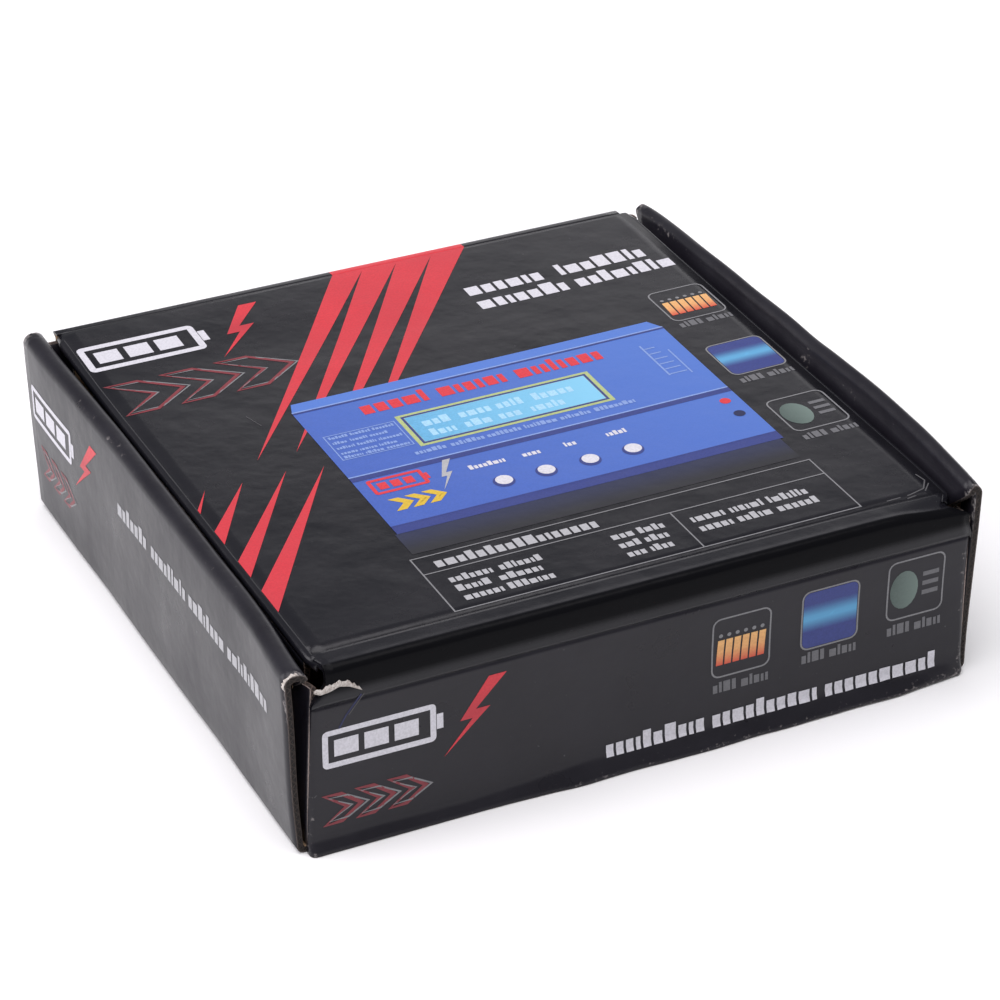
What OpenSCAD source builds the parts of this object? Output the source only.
// A balance battery charger in its corrugated retail carton.
// X runs along the carton's hinged wall, Y runs from that wall to the opening side, Z is up.
// The origin is the middle of the carton's underside.

/* [Carton] */
// Outside length along the hinged wall
box_x = 185; // [184:0.5:188]
// Outside depth from the hinged wall to the opening side
box_y = 186; // [184:0.5:190]
// Outside height over the rolled side walls
box_z = 51.5; // [51:0.5:56]
// Thickness of the corrugated board
board = 1.6; // [1.4:0.1:1.7]
// Width of the roll on top of each side wall
roll_width = 5.5; // [5.4:0.1:6]
// Gap between the lid's side edge and the inner side wall
lid_side_gap = 2; // [1.5:0.1:2.5]
// Length of the lid's tuck flap
flap_length = 24; // [18:0.5:25]
// Inward lean of the tuck flap, which lets it clear the far wall as the lid lifts
flap_lean = 4; // [3.8:0.1:6]
// Depth of the lid's side wings
wing_depth = 22; // [16:0.5:23]

/* [Insert] */
// Height of the insert's deck above the table
deck_z = 20; // [16:0.5:20.5]
// Depth of the lead compartment's opening in the deck
lead_opening_y = 34; // [20:1:35]

/* [Charger] */
// Length of the charger over its end plates
case_x = 133; // [132:0.5:135]
// Depth of the charger
case_y = 87; // [86:0.5:88]
// Height of the charger over its feet
case_z = 33; // [32.5:0.5:34]
// Wall of the two aluminium shells
case_wall = 1.5; // [1.2:0.1:1.6]
// Radius of a key's round cap
key_radius = 3.1; // [2.6:0.1:3.2]
// Spacing of the four keys
key_pitch = 15; // [13:0.5:16]
// Radius of the hole in each output socket
output_bore = 2; // [1.9:0.05:2.1]

/* [Hidden] */

// Colours of the real pieces
printed_board = "#2b2b31";
plain_board = "#b08d68";
anodised_blue = "#3f62b8";
bare_metal = "#b9bcc2";
board_green = "#1f6b45";
black_plastic = "#1b1b1d";
white_plastic = "#f1f0ea";

// Carton planes
half_x = box_x / 2;
half_y = box_y / 2;
crease = 0.3;
roll_z = box_z - board;
lid_top = box_z - crease;
lid_under = lid_top - board;
spine_top = lid_under - 0.4;
far_wall_top = lid_under + 0.4;
side_end = half_y - board - 0.2;
outer_wall_x = half_x - board;
inner_wall_x = half_x - roll_width;
lid_half = inner_wall_x - lid_side_gap;
lid_near = -half_y + board;
lid_far = half_y - board - 0.4;
hinge_y = -half_y + board / 2;
hinge_z = lid_top - board / 2;
lid_corner = 3;
locking_tab_y = [-40, 40];
locking_tab_length = 22;
fit_room = 0.3;

// Insert planes
insert_half_x = inner_wall_x - 1;
insert_half_y = half_y - board - 0.5;
cradle_y = case_y / 2 + 1;
cradle_inset = 4;
finger_radius = 11;

// Charger planes, measured from the feet's underside, which stands on the base panel
charger_z = board + 0.1;
foot_height = 1.5;
plate = 2;
shell_half = case_x / 2 - plate - 0.1;
half_case_y = case_y / 2;
shell_split = 15;
chamfer_y = 5;
chamfer_z = 4;
key_y = -32;
key_travel = 0.7;
key_proud = 1.2;
key_flange = 1.1;
key_bottom = case_z - case_wall - 1.3;
key_board_z = 23.6;
switch_body = 3.4;
board_under = 6;
board_top = board_under + 1.6;
board_screw_x = [-48, 48];
board_screw_y = [-28, 28];
screw_y = 36;
screw_heights = [7, 25];
screw_depth = 9;
boss_radius = 2.9;
boss_bore = 1.3;
boss_length = 12;
first_key_x = -23.7;
key_board_thickness = 1.4;
// Grooves across the face: place along Y, and width
face_grooves = [[-12, 3], [36.4, 1.2]];
// Grooves along the shells' sides: heights
top_side_grooves = [17.5, 20.5, 23.5];
bottom_side_grooves = [9, 12];
label_low = [-61, -9.5];
label_high = [61, 34.8];
foot_place = [54, 34];
display_x = -2.9;
display_y = 9;
window_size = [62, 16.5];
bezel_size = [68.6, 22.9];
output_y = [-17, -30];
output_z = 13;
output_depth = 14;
socket_rows = [[6, 5], [4, 3, 2]];
socket_row_z = [21, 12.5];
socket_near_y = -6;
socket_height = 5.8;
socket_depth = 8;
socket_back = 1.5;
socket_wall = 0.8;
socket_mouth = case_x / 2 + 0.6;
jack_y = 22;
jack_z = 13;
sensor_y = -18;

// A box from its lowest corner and its highest corner
module block(low, high) {
    translate(low)
        cube(high - low);
}

// A rod along X from x0 to x1
module rod_x(x0, x1, radius, y, z) {
    translate([x0, y, z])
        rotate([0, 90, 0])
            cylinder(r = radius, h = x1 - x0, $fn = 48);
}

// ---------- carton ----------

module base_panel() {
    slot_x = inner_wall_x + board / 2;
    color(printed_board)
        difference() {
            block([-outer_wall_x + 0.2, -side_end, 0], [outer_wall_x - 0.2, side_end, board]);
            for (side = [-1, 1], y = locking_tab_y)
                translate([side * slot_x, y, board / 2])
                    cube([board + fit_room, locking_tab_length + fit_room, board + 1], center = true);
        }
}

module locking_tabs() {
    color(printed_board)
        for (side = [-1, 1], y = locking_tab_y)
            translate([side * (inner_wall_x + board / 2), y, (board + crease) / 2])
                cube([board, locking_tab_length, board - crease], center = true);
}

module spine_wall() {
    color(printed_board)
        block([-outer_wall_x + crease, -half_y, 0], [outer_wall_x - crease, -half_y + board, spine_top]);
}

module far_wall() {
    color(printed_board)
        block([-outer_wall_x + crease, half_y - board, 0], [outer_wall_x - crease, half_y, far_wall_top]);
}

module side(sign) {
    mirror([sign < 0 ? 1 : 0, 0, 0])
        children();
}

module outer_wall(sign) {
    color(printed_board)
        side(sign)
            block([outer_wall_x, -side_end, 0], [half_x, side_end, roll_z - 0.2]);
}

module roll_top(sign) {
    color(printed_board)
        side(sign)
            block([inner_wall_x, -side_end, roll_z], [half_x, side_end, box_z]);
}

module inner_wall(sign) {
    color(printed_board)
        side(sign)
            block([inner_wall_x, -insert_half_y, board + 0.1], [inner_wall_x + board, insert_half_y, roll_z - 0.2]);
}

// A tab turned in from the spine or far wall, which slips between the two layers of a side wall
module corner_tab(sign, end) {
    tab_length = 28;
    tab_low = 2;
    tab_high = 46;
    tip = 6;
    tab_x = outer_wall_x - crease - board;
    color(printed_board)
        side(sign)
            mirror([0, end < 0 ? 1 : 0, 0])
                translate([tab_x, side_end - tab_length, 0])
                    rotate([0, -90, 0])
                        mirror([0, 0, 1])
                            linear_extrude(board)
                                polygon([
                                    [tab_low, tab_length], [tab_low, tip], [tab_low + tip, 0],
                                    [tab_high - tip, 0], [tab_high, tip], [tab_high, tab_length]
                                ]);
}

module lid_panel() {
    color(printed_board)
        translate([0, 0, lid_under])
            linear_extrude(board)
                polygon([
                    [-lid_half, lid_near], [lid_half, lid_near], [lid_half, lid_far - lid_corner],
                    [lid_half - lid_corner, lid_far], [lid_corner - lid_half, lid_far],
                    [-lid_half, lid_far - lid_corner]
                ]);
}

// The score line that the lid turns on
module lid_crease() {
    color(printed_board)
        rod_x(-lid_half, lid_half, board / 2, hinge_y, hinge_z);
}

module lid_tuck_flap() {
    top_half = lid_half - 3.5;
    tip_half = top_half - 7;
    color(printed_board)
        translate([0, lid_far - board, lid_under])
            rotate([-flap_lean, 0, 0])
                translate([0, board, 0])
                    rotate([90, 0, 0])
                        linear_extrude(board)
                            polygon([
                                [-top_half, -crease], [top_half, -crease], [top_half, -flap_length / 2],
                                [tip_half, -flap_length], [-tip_half, -flap_length], [-top_half, -flap_length / 2]
                            ]);
}

// A wing folded down from the lid's side edge, along the inner side wall
module lid_wing(sign) {
    near = -84;
    far = 60;
    taper = 9;
    color(printed_board)
        side(sign)
            translate([lid_half - board, 0, lid_under])
                rotate([90, 0, 90])
                    linear_extrude(board)
                        polygon([
                            [near, -crease], [far, -crease], [far - taper, -wing_depth], [near + taper, -wing_depth]
                        ]);
}

// ---------- insert ----------

module insert_deck() {
    opening_y = cradle_y + 4.5;
    color(plain_board)
        difference() {
            block([-insert_half_x, -insert_half_y, deck_z], [insert_half_x, insert_half_y, deck_z + board]);
            translate([0, 0, deck_z + board / 2])
                cube([case_x + 3, case_y + 2, board + 1], center = true);
            for (sign = [-1, 1])
                translate([sign * (case_x / 2 + 1.5), 0, deck_z - 1])
                    cylinder(r = finger_radius, h = board + 2, $fn = 64);
            translate([0, opening_y + lead_opening_y / 2, deck_z + board / 2])
                cube([case_x + 7, lead_opening_y, board + 1], center = true);
        }
}

module insert_front_leg() {
    color(plain_board)
        block([-insert_half_x, -insert_half_y, charger_z], [insert_half_x, board - insert_half_y, deck_z - 0.1]);
}

module insert_rear_leg() {
    color(plain_board)
        block([-insert_half_x, insert_half_y - board, charger_z], [insert_half_x, insert_half_y, deck_z - 0.1]);
}

module insert_cradle(sign) {
    y = sign * (cradle_y + board / 2);
    color(plain_board)
        block([cradle_inset - case_x / 2, y - board / 2, charger_z],
              [case_x / 2 - cradle_inset, y + board / 2, deck_z - 0.1]);
}

// ---------- charger ----------

module in_charger() {
    translate([0, 0, charger_z])
        children();
}

// Cross-section of the whole case, shrunk by inset on every side
function case_section(inset) =
    let (y = half_case_y - inset, low = foot_height + inset, high = case_z - inset)
    let (dy = chamfer_y - inset * 0.3, dz = chamfer_z - inset * 0.3)
    [
        [-y, low + 2], [2 - y, low], [y - 2, low], [y, low + 2],
        [y, high - dz], [y - dy, high], [dy - y, high], [-y, high - dz]
    ];

module case_bar(x0, x1, inset) {
    translate([x0, 0, 0])
        rotate([90, 0, 90])
            linear_extrude(x1 - x0)
                polygon(case_section(inset));
}

module case_tube() {
    difference() {
        case_bar(-shell_half, shell_half, 0);
        case_bar(-shell_half - 1, shell_half + 1, case_wall);
    }
}

// Screw bosses inside both ends of a shell, at one height
module bosses(z) {
    for (end = [-1, 1], y = [-screw_y, screw_y])
        rod_x(end > 0 ? shell_half - boss_length : -shell_half, end > 0 ? shell_half : boss_length - shell_half,
              boss_radius, y, z);
}

module boss_holes(z) {
    for (end = [-1, 1], y = [-screw_y, screw_y])
        rod_x(end > 0 ? shell_half - screw_depth : -shell_half - 1,
              end > 0 ? shell_half + 1 : screw_depth - shell_half, boss_bore, y, z);
}

// Webs that join the bosses to the shell's side walls
module boss_webs(z) {
    for (end = [-1, 1], side_y = [-1, 1])
        translate([end * (shell_half - boss_length / 2), side_y * (half_case_y - 3.6), z])
            cube([boss_length, 6, 1.6], center = true);
}

function key_x(index) = first_key_x + key_pitch * index;

module case_top() {
    color(anodised_blue)
        in_charger()
            difference() {
                union() {
                    difference() {
                        case_tube();
                        block([-case_x, -case_y, -1], [case_x, case_y, shell_split]);
                    }
                    bosses(screw_heights[1]);
                    boss_webs(screw_heights[1]);
                }
                boss_holes(screw_heights[1]);
                for (line = face_grooves)
                    translate([0, line[0], case_z])
                        cube([case_x, line[1], 0.8], center = true);
                for (side_y = [-1, 1], z = top_side_grooves)
                    translate([0, side_y * half_case_y, z])
                        cube([case_x, 1, 1.2], center = true);
                translate([display_x, display_y, case_z])
                    cube([window_size[0] + 0.4, window_size[1] + 0.4, 8], center = true);
                for (index = [0:3])
                    translate([key_x(index), key_y, case_z - 4])
                        cylinder(r = key_radius + 0.3, h = 6, $fn = 48);
            }
}

module case_bottom() {
    color(anodised_blue)
        in_charger()
            difference() {
                union() {
                    difference() {
                        case_tube();
                        block([-case_x, -case_y, shell_split - 0.1], [case_x, case_y, case_z + 1]);
                    }
                    bosses(screw_heights[0]);
                    boss_webs(screw_heights[0]);
                }
                boss_holes(screw_heights[0]);
                for (side_y = [-1, 1], z = bottom_side_grooves)
                    translate([0, side_y * half_case_y, z])
                        cube([case_x, 1, 1.2], center = true);
                for (index = [-4:4])
                    translate([index * 9, 14, foot_height])
                        cube([3, 30, 6], center = true);
            }
}

module end_plate_blank(sign) {
    in_charger()
        difference() {
            case_bar(sign > 0 ? case_x / 2 - plate : -case_x / 2, sign > 0 ? case_x / 2 : plate - case_x / 2, 0);
            for (y = [-screw_y, screw_y], z = screw_heights)
                rod_x(-case_x, case_x, 1.5, y, z);
        }
}

module end_plate_left() {
    color(anodised_blue)
        difference() {
            end_plate_blank(-1);
            in_charger() {
                rod_x(-case_x, 0, 4.6, jack_y, jack_z);
                translate([-case_x / 2, sensor_y, jack_z])
                    cube([8, 10.4, socket_height + 0.2], center = true);
            }
        }
}

// Width of a balance socket with one pin more than its cells
function socket_width(cells) = 2.5 * cells + 4.9;
// Low edge, along Y, of socket number index in a row
function socket_start(row, index) =
    index == 0 ? socket_near_y : socket_start(row, index - 1) + socket_width(row[index - 1]) + 0.4;

module end_plate_right() {
    color(anodised_blue)
        difference() {
            end_plate_blank(1);
            in_charger() {
                for (y = output_y)
                    rod_x(0, case_x, 4.1, y, output_z);
                for (row = [0:1], index = [0:len(socket_rows[row]) - 1])
                    translate([case_x / 2, socket_start(socket_rows[row], index) - 0.1, socket_row_z[row] - 3])
                        translate([-4, 0, 0])
                            cube([8, socket_width(socket_rows[row][index]) + 0.2, 6]);
            }
        }
}

module face_label() {
    color("#35549f")
        in_charger()
            difference() {
                block([label_low[0], label_low[1], case_z + 0.02], [label_high[0], label_high[1], case_z + 0.27]);
                translate([display_x, display_y, case_z])
                    cube([bezel_size[0] + 0.2, bezel_size[1] + 0.2, 2], center = true);
            }
}

module display_bezel() {
    color("#b9cf4a")
        in_charger()
            translate([display_x, display_y, case_z + 0.35])
                difference() {
                    cube([bezel_size[0], bezel_size[1], 0.66], center = true);
                    cube([window_size[0], window_size[1], 2], center = true);
                }
}

module display_window() {
    color("#8fd0e4", 0.5)
        in_charger()
            translate([display_x, display_y, case_z - 0.5])
                cube([window_size[0] - 0.2, window_size[1] - 0.2, 1.6], center = true);
}

module display_module() {
    color("#4fa3c7")
        in_charger()
            translate([display_x, display_y, 0]) {
                block([-40, -15, 21], [40, 18, 22.6]);
                block([-35.5, -12, 22.6], [35.5, 12, case_z - case_wall - 0.3]);
            }
}

// A key's round cap, with the flange that stops it under the case's face
module key(index) {
    cap_height = case_z + key_proud - key_bottom;
    color(white_plastic)
        in_charger()
            translate([key_x(index), key_y, key_bottom]) {
                cylinder(r = key_radius + key_flange, h = 1, $fn = 48);
                cylinder(r = key_radius, h = cap_height - 0.5, $fn = 48);
                cylinder(r = key_radius - 0.5, h = cap_height, $fn = 48);
            }
}

module key_board() {
    color(board_green)
        in_charger()
            block([-32, key_y - 5, key_board_z], [30, key_y + 7, key_board_z + key_board_thickness]);
}

module key_switches() {
    base = key_board_z + key_board_thickness;
    plunger_top = key_bottom - key_travel - 0.3;
    color(black_plastic)
        in_charger()
            for (index = [0:3])
                translate([key_x(index), key_y, base]) {
                    translate([-3, -3, 0])
                        cube([6, 6, switch_body]);
                    cylinder(r = 1.7, h = plunger_top - base, $fn = 32);
                }
}

module main_board() {
    color(board_green)
        in_charger()
            difference() {
                block([-62, -33, board_under], [62, 33, board_top]);
                for (x = board_screw_x, y = board_screw_y)
                    translate([x, y, 5])
                        cylinder(r = 1.6, h = 4, $fn = 32);
            }
}

module board_standoffs() {
    color(bare_metal)
        in_charger()
            for (x = board_screw_x, y = board_screw_y)
                translate([x, y, foot_height + case_wall])
                    difference() {
                        cylinder(r = 3, h = board_under - foot_height - case_wall, $fn = 6);
                        translate([0, 0, 0.5])
                            cylinder(r = 1.5, h = 6, $fn = 32);
                    }
}

module board_screws() {
    color(bare_metal)
        in_charger()
            for (x = board_screw_x, y = board_screw_y)
                translate([x, y, 0]) {
                    translate([0, 0, 4])
                        cylinder(r = 1.4, h = 4, $fn = 32);
                    translate([0, 0, board_top])
                        cylinder(r = 2.6, h = 1.8, $fn = 32);
                }
}

module heat_spreader() {
    color(bare_metal)
        in_charger()
            difference() {
                block([-44, 25, board_top + 0.1], [44, 32, 20]);
                for (index = [-5:5])
                    translate([index * 7.6, 32, 15])
                        cube([3, 6, 16], center = true);
            }
}

module power_transistors() {
    color(black_plastic)
        in_charger()
            for (index = [0:5])
                translate([-40 + index * 14, 20.3, board_top + 3]) {
                    cube([10, 4.5, 9]);
                    for (leg = [0:2])
                        translate([2 + leg * 2.6, 2, -3])
                            cube([0.8, 0.5, 3.2]);
                }
}

module inductors() {
    color("#b5652f")
        in_charger()
            for (x = [-30, -4])
                translate([x, -12, board_top + 6])
                    rotate_extrude($fn = 64)
                        translate([8, 0])
                            circle(r = 4.2, $fn = 32);
}

module capacitors() {
    color("#222c55")
        in_charger()
            for (place = [[18, -20], [30, -20], [42, -20], [18, 2], [30, 2]])
                translate([place[0], place[1], board_top + 0.1])
                    cylinder(r = 5, h = 12, $fn = 48);
}

module control_chips() {
    color(black_plastic)
        in_charger() {
            block([-52, 2, board_top + 0.1], [-40, 14, board_top + 1.6]);
            block([-22, 6, board_top + 0.1], [-12, 12, board_top + 1.9]);
            block([-6, 6, board_top + 0.1], [4, 12, board_top + 1.9]);
        }
}

module buzzer() {
    color(black_plastic)
        in_charger()
            translate([-50, -13, board_top + 0.1])
                difference() {
                    cylinder(r = 6, h = 7.5, $fn = 48);
                    translate([0, 0, 4])
                        cylinder(r = 1, h = 6, $fn = 24);
                }
}

module fuse() {
    color("#c98a2b")
        in_charger()
            rod_x(-57, -43, 2.6, -22, board_top + 3);
}

module output_sleeve(index, tint) {
    color(tint)
        in_charger()
            difference() {
                union() {
                    rod_x(case_x / 2 - 14, case_x / 2 + 0.1, 4, output_y[index], output_z);
                    rod_x(case_x / 2 + 0.1, case_x / 2 + 2.2, 5.2, output_y[index], output_z);
                }
                rod_x(case_x / 2 - 20, case_x / 2 + 5, 2.75, output_y[index], output_z);
            }
}

module output_contacts() {
    mouth = case_x / 2 + 1.9;
    color("#c9a24a")
        in_charger()
            for (y = output_y)
                difference() {
                    rod_x(mouth - output_depth - 4, mouth, 2.7, y, output_z);
                    rod_x(mouth - output_depth, mouth + 1, output_bore, y, output_z);
                }
}

module balance_sockets() {
    color(white_plastic)
        in_charger()
            for (row = [0:1], index = [0:len(socket_rows[row]) - 1]) {
                width = socket_width(socket_rows[row][index]);
                low_y = socket_start(socket_rows[row], index);
                translate([socket_mouth - socket_depth, low_y, socket_row_z[row] - socket_height / 2])
                    difference() {
                        cube([socket_depth, width, socket_height]);
                        translate([socket_back, socket_wall, socket_wall])
                            cube([socket_depth, width - 2 * socket_wall, socket_height - 2 * socket_wall]);
                    }
            }
}

module balance_pins() {
    pin_start = socket_mouth - socket_depth + socket_back + 0.02;
    pin_length = 5.4;
    pin_width = 0.64;
    color("#d6b95a")
        in_charger()
            for (row = [0:1], index = [0:len(socket_rows[row]) - 1], pin = [0:socket_rows[row][index]])
                translate([pin_start, socket_start(socket_rows[row], index) + 2.45 + pin * 2.5, socket_row_z[row]])
                    translate([0, -pin_width / 2, -pin_width / 2])
                        cube([pin_length, pin_width, pin_width]);
}

module sensor_socket() {
    mouth = -case_x / 2 - 0.6;
    color(black_plastic)
        in_charger()
            difference() {
                block([mouth, sensor_y - 5, jack_z - 2.9], [mouth + 9, sensor_y + 5, jack_z + 2.9]);
                block([mouth - 1, sensor_y - 4, jack_z - 1.9], [mouth + 7, sensor_y + 4, jack_z + 1.9]);
            }
}

module dc_input_jack() {
    mouth = -case_x / 2 - 0.6;
    color(black_plastic)
        in_charger()
            difference() {
                union() {
                    rod_x(mouth, mouth + 4, 4.5, jack_y, jack_z);
                    block([mouth + 3, jack_y - 4.5, board_top + 0.1], [mouth + 14, jack_y + 4.5, jack_z + 4.6]);
                }
                difference() {
                    rod_x(mouth - 1, mouth + 9.5, 3.1, jack_y, jack_z);
                    rod_x(mouth + 1, mouth + 11, 1.2, jack_y, jack_z);
                }
            }
}

module case_screws() {
    color(bare_metal)
        in_charger()
            for (end = [0, 1], y = [-screw_y, screw_y], z = screw_heights)
                mirror([end, 0, 0])
                    difference() {
                        union() {
                            rod_x(case_x / 2 - screw_depth, case_x / 2 + 0.1, 1.2, y, z);
                            rod_x(case_x / 2 + 0.05, case_x / 2 + 1.5, 2.7, y, z);
                        }
                        translate([case_x / 2 + 1.2, y, z]) {
                            cube([1.2, 3.6, 0.7], center = true);
                            cube([1.2, 0.7, 3.6], center = true);
                        }
                    }
}

module rubber_feet() {
    color(black_plastic)
        in_charger()
            for (side_x = [-1, 1], side_y = [-1, 1])
                translate([side_x * foot_place[0], side_y * foot_place[1], 0])
                    cylinder(r = 5, h = foot_height - 0.05, $fn = 48);
}

base_panel();
spine_wall();
far_wall();
outer_wall(-1);  // left_outer_wall
outer_wall(1);  // right_outer_wall
roll_top(-1);  // left_roll_top
roll_top(1);  // right_roll_top
inner_wall(-1);  // left_inner_wall
inner_wall(1);  // right_inner_wall
corner_tab(-1, -1);  // front_left_corner_tab
corner_tab(1, -1);  // front_right_corner_tab
corner_tab(-1, 1);  // far_left_corner_tab
corner_tab(1, 1);  // far_right_corner_tab
locking_tabs();
lid_panel();
lid_crease();
lid_tuck_flap();
lid_wing(-1);  // lid_wing_left
lid_wing(1);  // lid_wing_right
insert_deck();
insert_front_leg();
insert_rear_leg();
insert_cradle(-1);  // insert_cradle_front
insert_cradle(1);  // insert_cradle_rear
case_top();
case_bottom();
end_plate_left();
end_plate_right();
face_label();
display_bezel();
display_window();
display_module();
key(0);  // key_mode
key(1);  // key_down
key(2);  // key_up
key(3);  // key_start
key_switches();
key_board();
main_board();
board_standoffs();
board_screws();
heat_spreader();
power_transistors();
inductors();
capacitors();
control_chips();
buzzer();
fuse();
output_sleeve(0, "#c4202a");  // output_sleeve_red
output_sleeve(1, black_plastic);  // output_sleeve_black
output_contacts();
balance_sockets();
balance_pins();
sensor_socket();
dc_input_jack();
case_screws();
rubber_feet();
